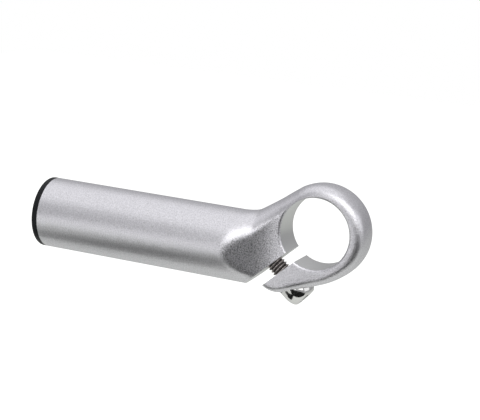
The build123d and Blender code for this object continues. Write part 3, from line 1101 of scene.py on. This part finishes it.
def screw_points():
    """The whole screw as one grid.

    Round rows keep their radius at every angle. Socket rows are hexagons: the radius is the half width across flats
    divided by the cosine of the angle from the middle of the nearest flat. In thread rows the radius drops from the
    crest to the root and back once for each pitch, as a triangle wave with flats at both ends.
    """
    angles = np.linspace(0, tau, SCREW_SIDES, endpoint=False)
    hexagon = 1 / np.cos((angles + tau / 12) % (tau / 6) - tau / 12)
    socket, outside = head_rows()
    distance, plain, depth = thread_rows()
    phase = (distance[:, None] / THREAD_PITCH - angles / tau) % 1
    wave = np.clip((np.abs(2 * phase - 1) - THREAD_FLAT) / (1 - 2 * THREAD_FLAT), 0, 1)
    rows = np.vstack([socket, outside, np.stack([distance, plain], axis=1), [[SCREW_POINT, 0.0]]])
    stretch = np.ones((len(rows), SCREW_SIDES))
    stretch[: len(socket)] = hexagon
    first = len(socket) + len(outside)
    stretch[first:-1] = (plain[:, None] - depth[:, None] * wave) / plain[:, None]
    return turned(rows, SCREW_ORIGIN, SCREW_AXIS, SCREW_SIDES, stretch)


screw_mesh = closed_mesh("clamp_screw", screw_points())
print("screw faces:", len(screw_mesh.polygons))

# %% [markdown]
# The head and the thread are finished differently, so the piece has two material slots, and each face takes the one
# that its distance along the axis calls for.

# %% Finishes of the screw
CHROME = (0.78, 0.775, 0.765)
THREAD_ROOT = (0.090, 0.080, 0.078)
# Painted highlight: the thread's crests are coloured bright to stand in for glints.
THREAD_CREST_SHEEN = (0.70, 0.65, 0.63)
FACE_MARGIN = 0.01 * MM


def chrome():
    """Bright plate whose tone and roughness vary faintly, as wiping leaves it."""
    material, tree, surface = new_material("chrome_plate", Metallic=1.0)
    marks = use_group(tree, FINE_GRAIN, Size=1.1, Coarse_Share=0.5, Tone_Range=0.08)
    tree.links.new(tint(tree, CHROME, marks.outputs["Tone"]), surface.inputs["Base Color"])
    cloud(tree, surface, marks, least=0.05, spread=0.08)
    return material


def oiled_steel():
    """Dark oiled steel, with a painted highlight along the crests of its thread: the colour runs from the dark steel in
    the roots to a bright painted colour at the crests.

    The distance from the axis is the length of the cross product of the axis with the vector from the screw's origin.
    """
    material, tree, surface = new_material("oiled_steel", Metallic=0.85)
    grain = use_group(tree, FINE_GRAIN, Size=1.0, Coarse_Share=0.8, Tone_Range=3.0)
    place = add_node(tree, "ShaderNodeTexCoord").outputs["Object"]
    away = vector_node(tree, "SUBTRACT", place, SCREW_ORIGIN).outputs["Vector"]
    square = vector_node(tree, "CROSS_PRODUCT", away, SCREW_AXIS).outputs["Vector"]
    distance = vector_node(tree, "LENGTH", square).outputs["Value"]
    crest = ramp(tree, distance, SHANK_RADIUS - THREAD_DEPTH, SHANK_RADIUS)
    # Painted highlight: the colour brightens towards the crests.
    colour = mix_colours(tree, crest, THREAD_ROOT, tint(tree, THREAD_CREST_SHEEN, grain.outputs["Tone"]))
    tree.links.new(colour, surface.inputs["Base Color"])
    cloud(tree, surface, grain, least=0.14, spread=0.2)
    return material


screw_mesh.materials.append(chrome())
screw_mesh.materials.append(oiled_steel())
middles = np.zeros(len(screw_mesh.polygons) * 3)
screw_mesh.polygons.foreach_get("center", middles)
height = (middles.reshape(-1, 3) - SCREW_ORIGIN) @ SCREW_AXIS
threaded = height < SCREW_END - HEAD_HEIGHT - FACE_MARGIN
screw_mesh.polygons.foreach_set("material_index", threaded.astype(np.int32))
stand_for(add_object("clamp_screw", screw_mesh), "bolt", "clamp_bolt")
print("faces of the thread:", int(threaded.sum()))

# %% [markdown]
# ## The washer
#
# The washer is a plain stamped ring, and the solid already has its form, so it only needs a finish.

# %% Washer
PLATE = (0.30, 0.30, 0.31)
# Light grey of the washer's edges: part wear, part painted highlight.
PLATE_EDGE_WEAR_AND_SHEEN = (0.60, 0.60, 0.61)


def plated_steel():
    """Grey plate with a cloudy tone and light edges: part wear, part painted highlight."""
    material, tree, surface = new_material("plated_steel", Metallic=1.0)
    grain = use_group(tree, FINE_GRAIN, Size=0.7, Coarse_Share=0.8, Tone_Range=0.25)
    edges = use_group(tree, EDGE_WEAR_AND_SHEEN, Radius=0.15, Gain=3.0)
    # The edges go light grey: part wear, part painted highlight.
    colour = mix_colours(tree, edges.outputs["Mask"], tint(tree, PLATE, grain.outputs["Tone"]), PLATE_EDGE_WEAR_AND_SHEEN)
    tree.links.new(colour, surface.inputs["Base Color"])
    cloud(tree, surface, grain, least=0.22, spread=0.15)
    return material


washer = frame["nodes"]["washer"]
washer.material_slots[0].material = plated_steel()
print("dressed:", washer.name)
